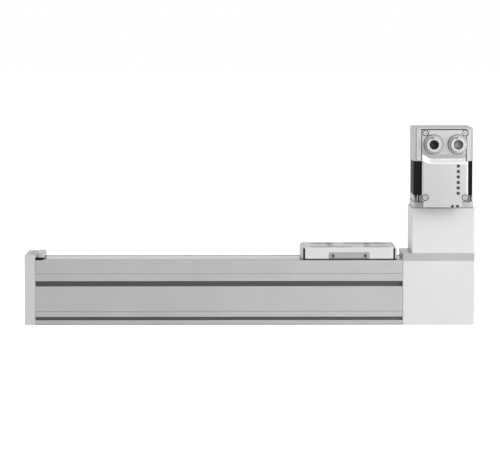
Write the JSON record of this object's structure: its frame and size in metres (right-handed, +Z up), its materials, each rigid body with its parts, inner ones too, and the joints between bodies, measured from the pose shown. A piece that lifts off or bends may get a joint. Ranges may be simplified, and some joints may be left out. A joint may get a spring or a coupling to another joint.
{
  "type": "belt driven linear axis",
  "caption": "Linear axis with a slide on an extruded profile, a toothed belt inside, and a drive head with coupling housing, motor and controller standing at one end.",
  "frame": {"origin": "middle of the profile's bottom face", "axes": "+X along the axis towards the drive head, +Z up, -Y towards the controller and its plug inlets"},
  "size_m": [0.4285, 0.0905, 0.1882],
  "materials": {
    "anodised_profile": "natural anodised extrusion with fine lengthwise draw lines",
    "strip_steel": "thin rolled stainless strip, lengthwise brushed",
    "cap_paint": "light grey powder coat on a die casting",
    "plate_aluminium": "anodised plate, milled edge",
    "slide_aluminium": "natural anodised, fine bead blasted",
    "bare_aluminium": "milled, uncoated",
    "pulley_aluminium": "turned and hobbed",
    "head_paint": "pale grey powder coat, smooth",
    "zinc_steel": "zinc plated screws",
    "dark_steel": "black oxide screws",
    "rail_steel": "hardened and ground",
    "bearing_steel": "polished bearing rings with seals",
    "rotor_steel": "stacked laminations",
    "black_rubber": "matt moulded rubber",
    "belt_rubber": "polyurethane belt with cord backing",
    "spider_plastic": "cast polyurethane",
    "motor_silver": "silver paint on a die casting",
    "motor_black": "satin black paint on laminations",
    "hood_paint": "silver paint on a die casting",
    "black_plastic": "glass filled plastic, lightly eroded",
    "insert_grey": "pale plug insert",
    "inlet_nickel": "nickel plated turned brass",
    "lens_dark": "smoked light pipe ends",
    "board_green": "solder resist",
    "magnet_grey": "nickel coated magnet",
    "runner_plastic": "moulded end caps of the runner block",
    "cover_plastic": "silver grey moulded covers",
    "tag_steel": "stamped plate, fine brushed"
  },
  "bodies": {
    "frame": {"profile": "anodised_profile", "cover_strip": "strip_steel", "end_cap": "cap_paint", "end_cap_screws": "zinc_steel", "strip_clamp": "cap_paint", "strip_clamp_screws": "dark_steel", "end_buffer": "black_rubber", "guide_rail": "rail_steel", "rail_screws": "dark_steel", "idler_yoke": "bare_aluminium", "idler_axle": "rail_steel", "tension_screws": "zinc_steel", "toothed_belt": "belt_rubber", "drive_housing": "head_paint", "housing_bolts": "zinc_steel", "column_bolts": "zinc_steel", "shaft_bearings": "bearing_steel", "adapter_plate": "plate_aluminium", "adapter_screws": "zinc_steel", "coupling_housing": "head_paint", "motor_flange": "motor_silver", "motor_screws": "dark_steel", "motor_bearings": "bearing_steel", "motor_stator": "motor_black", "motor_rear_housing": "motor_silver", "encoder_board": "board_green", "controller_box": "black_plastic", "controller_board": "board_green", "controller_hood": "hood_paint", "hood_screws": "zinc_steel", "power_inlet": "inlet_nickel", "power_pins": "black_plastic", "logic_inlet": "inlet_nickel", "logic_pins": "insert_grey", "status_lights": "lens_dark"},
    "carriage": {"runner_block": "rail_steel", "runner_caps": "runner_plastic", "saddle": "bare_aluminium", "runner_screws": "dark_steel", "slide": "slide_aluminium", "slide_screws": "dark_steel", "slide_wipers": "black_rubber", "slide_end_covers": "cover_plastic", "tag_plate": "tag_steel", "tag_screws": "dark_steel", "belt_clamp": "bare_aluminium", "belt_clamp_screws": "dark_steel", "sensor_magnet": "magnet_grey"},
    "drive": {"drive_shaft": "rail_steel", "drive_pulley": "pulley_aluminium", "coupling_lower_hub": "bare_aluminium", "coupling_spider": "spider_plastic", "coupling_upper_hub": "bare_aluminium", "coupling_screws": "dark_steel", "motor_shaft": "rail_steel", "motor_rotor": "rotor_steel", "encoder_magnet": "magnet_grey"},
    "idler": {"idler_pulley": "pulley_aluminium", "idler_bearings": "bearing_steel"}
  },
  "joints": [
    {"name": "slide_travel", "type": "slide", "parent": "frame", "child": "carriage", "axis": [1, 0, 0], "range_m": [-0.237, 0.003], "deforming": ["toothed_belt"]},
    {"name": "drive_spin", "type": "hinge", "parent": "frame", "child": "drive", "pos_m": [0.2135, 0, 0.05], "axis": [0, 0, 1], "range_deg": [-1100, 20]},
    {"name": "idler_spin", "type": "hinge", "parent": "frame", "child": "idler", "pos_m": [-0.157, 0, 0.04], "axis": [0, 0, 1], "range_deg": [-1100, 20]}
  ],
  "couplings": [
    {"joint": "drive_spin", "follows": "slide_travel", "rad_per_m": 80.554},
    {"joint": "idler_spin", "follows": "slide_travel", "rad_per_m": 80.554}
  ]
}
